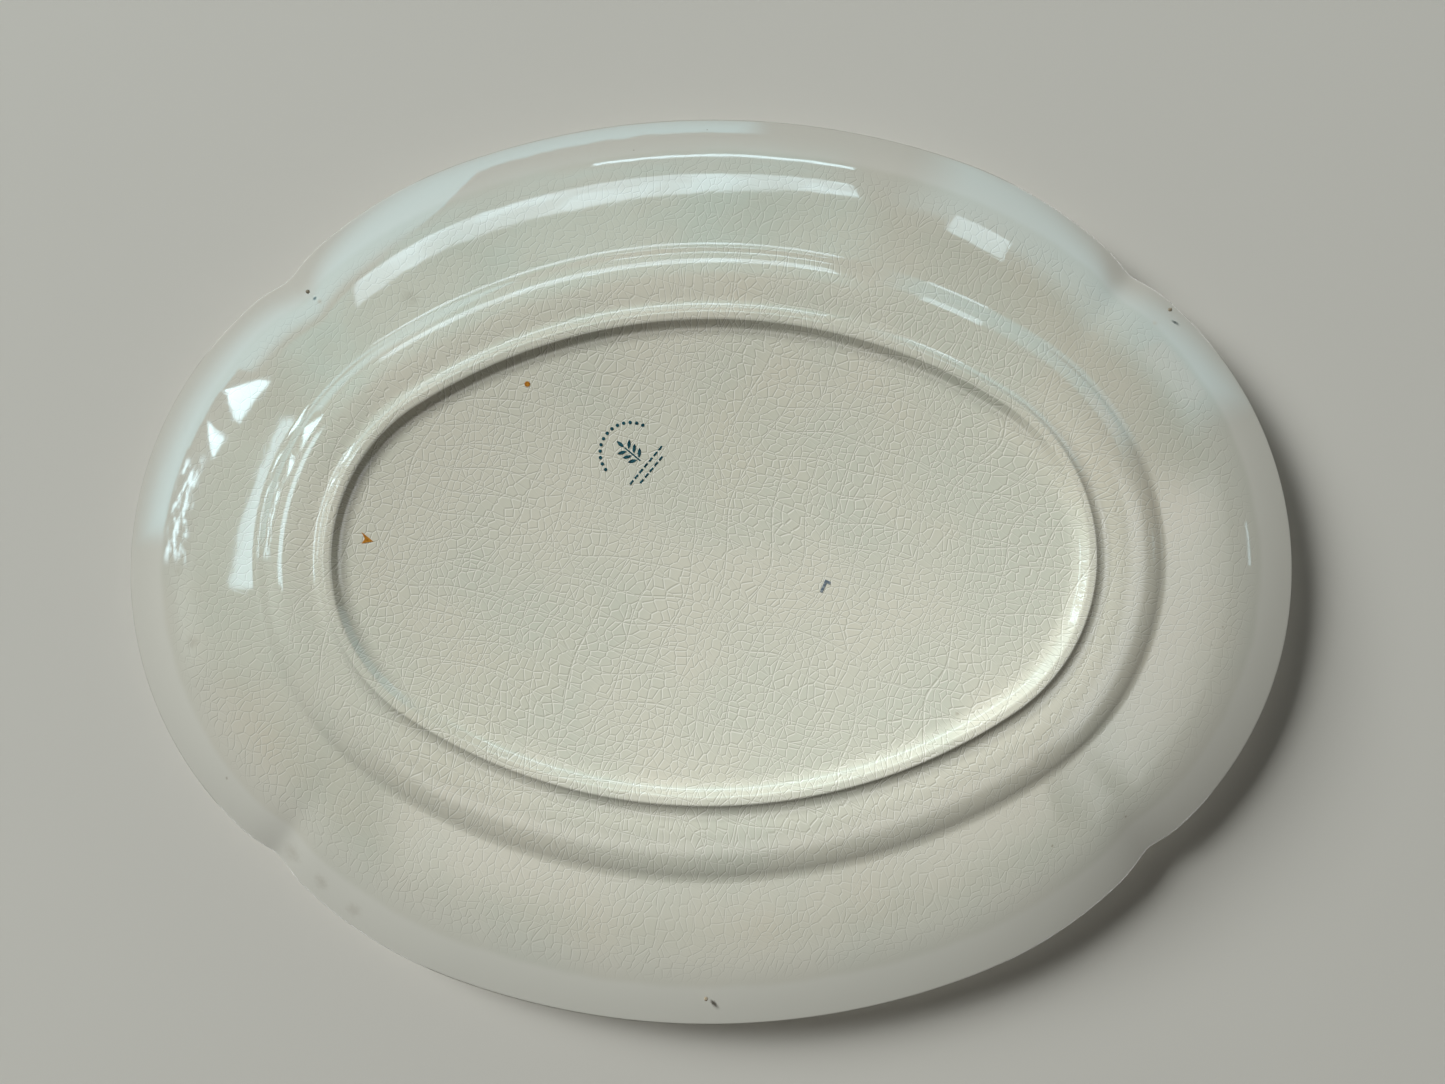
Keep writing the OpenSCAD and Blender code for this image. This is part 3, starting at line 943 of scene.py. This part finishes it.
def lights_below(backdrop):
    """Window light on the back, and soft light of its own for the backdrop."""
    beam = window_beam(
        "window_beam",
        bearing(45, 45),
        distance=3.0,
        radius=0.26,
        strength=5.8,
        colour=(0.97, 1.0, 0.975),
        aim=(0.25, 0.37, 0.0),
        spread=18.5,
    )
    link_light(beam, backdrop, "EXCLUDE")
    wall = soft_light(
        "wall_light",
        (-1.45, -0.85, -1.0),
        distance=9.0,
        size=(3.8, 3.8),
        radiance=25.5,
        colour=(0.98, 1.0, 0.975),
    )
    link_light(wall, backdrop, "INCLUDE")


def lights_above():
    """Plain studio light for the views from above, with a soft window to mirror on every side."""
    soft_light("key", (-0.60, -0.35, 0.62), 2.2, (0.7, 0.7), 24.0, (1.0, 0.985, 0.96))
    soft_light("fill", (0.75, 0.45, 0.50), 2.6, (2.0, 2.0), 0.9, (0.95, 0.98, 1.0))
    for turn in (45, 135, 225, 315):
        direction = (cos(turn), sin(turn), 0.42)
        card(f"studio_window_{turn}", direction, 2.4, (1.1, 0.7), 2.6, STUDIO_WHITE, soft_edge=0.03)


def world_light(strength, colour):
    """Faint light from all round. The camera sees the far distance's colour in its place."""
    world = bpy.data.worlds.new("studio")
    world.use_nodes = True
    tree = world.node_tree
    background = tree.nodes["Background"]
    background.inputs["Color"].default_value = colour
    background.inputs["Strength"].default_value = strength
    distant = tree.nodes.new("ShaderNodeBackground")
    distant.inputs["Color"].default_value = DISTANCE_COLOUR
    choice = tree.nodes.new("ShaderNodeMixShader")
    tree.links.new(tree.nodes.new("ShaderNodeLightPath").outputs["Is Camera Ray"], choice.inputs[0])
    tree.links.new(background.outputs[0], choice.inputs[1])
    tree.links.new(distant.outputs[0], choice.inputs[2])
    tree.links.new(choice.outputs[0], tree.nodes["World Output"].inputs["Surface"])
    bpy.context.scene.world = world


# The camera: lens and sensor in mm, its place in mm, the way out of its back, and its top
LENS = 27.0
SENSOR_WIDTH = 36.0
CAMERA_PLACE = (4.06, 15.95, -301.06)
CAMERA_BACKWARD = (0.0013, 0.06444, -0.99792)
CAMERA_UP = (0.00642, -0.9979, -0.06443)


def camera():
    """The camera that looks up at the back, with the platter's -Y side at the top of the view."""
    data = bpy.data.cameras.new("camera")
    data.lens = LENS
    data.sensor_width = SENSOR_WIDTH
    view = bpy.data.objects.new("camera", data)
    bpy.context.scene.collection.objects.link(view)
    backward = Vector(CAMERA_BACKWARD).normalized()
    right = Vector(CAMERA_UP).cross(backward).normalized()
    up = backward.cross(right)
    turned = Matrix((right, up, backward)).transposed().to_4x4()
    view.matrix_world = Matrix.Translation(Vector(CAMERA_PLACE) * MM) @ turned
    bpy.context.scene.camera = view


# ---------------------------------------------------------------- the scene

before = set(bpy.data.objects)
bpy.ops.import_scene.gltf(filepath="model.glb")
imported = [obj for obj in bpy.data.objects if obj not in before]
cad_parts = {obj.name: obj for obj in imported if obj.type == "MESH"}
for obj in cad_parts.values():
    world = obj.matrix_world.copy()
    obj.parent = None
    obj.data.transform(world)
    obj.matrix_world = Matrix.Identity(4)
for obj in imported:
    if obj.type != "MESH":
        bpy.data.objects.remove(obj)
cad_low, cad_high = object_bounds()


def show(piece, nodes, material):
    """Puts a piece on the platter in place of CAD nodes, in a material."""
    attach(piece, "root")
    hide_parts(*nodes)
    piece.data.materials.clear()
    piece.data.materials.append(material)


crazed = glaze_material("crazed_glaze", 1.0)
show(back_glaze_inner(), ["back_glaze"], crazed)
show(back_glaze_rim(), ["back_glaze"], crazed)
show(face_glaze(), ["face_glaze"], glaze_material("face_glaze_cream", 0.6))
clay = plain_material("bare_clay", CLAY_TONES, grain=2.0, roughness=0.8, relief=0.05)
show(clay_body(), ["earthenware_body"], clay)

CAD_MATERIALS = {
    "backstamp_print": plain_material("teal_ink", INK_TONES, grain=1.2, roughness=0.2, relief=0.01),
    "decorator_tick": plain_material("brush_blue", BRUSH_TONES, grain=0.8, roughness=0.25, relief=0.01),
    "kiln_pin_scars": plain_material("pin_clay", SCAR_TONES, grain=0.6, roughness=0.8, relief=0.1),
    "iron_specks": plain_material("iron_orange", IRON_TONES, grain=0.7, roughness=0.3, relief=0.02),
}
for node_name, node_material in CAD_MATERIALS.items():
    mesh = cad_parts[node_name].data
    mesh.materials.clear()
    mesh.materials.append(node_material)

stage_plane("floor", -FLOOR_GAP * MM, True, FLOOR_COLOUR)
backdrop = stage_plane("backdrop", cad_high[2] + BACKDROP_GAP * MM, False, BACKDROP_COLOUR)
room_below()
lights_below(backdrop)
lights_above()
world_light(0.09, (1.0, 0.945, 0.84, 1.0))
camera()
bpy.context.scene.view_settings.view_transform = "Standard"
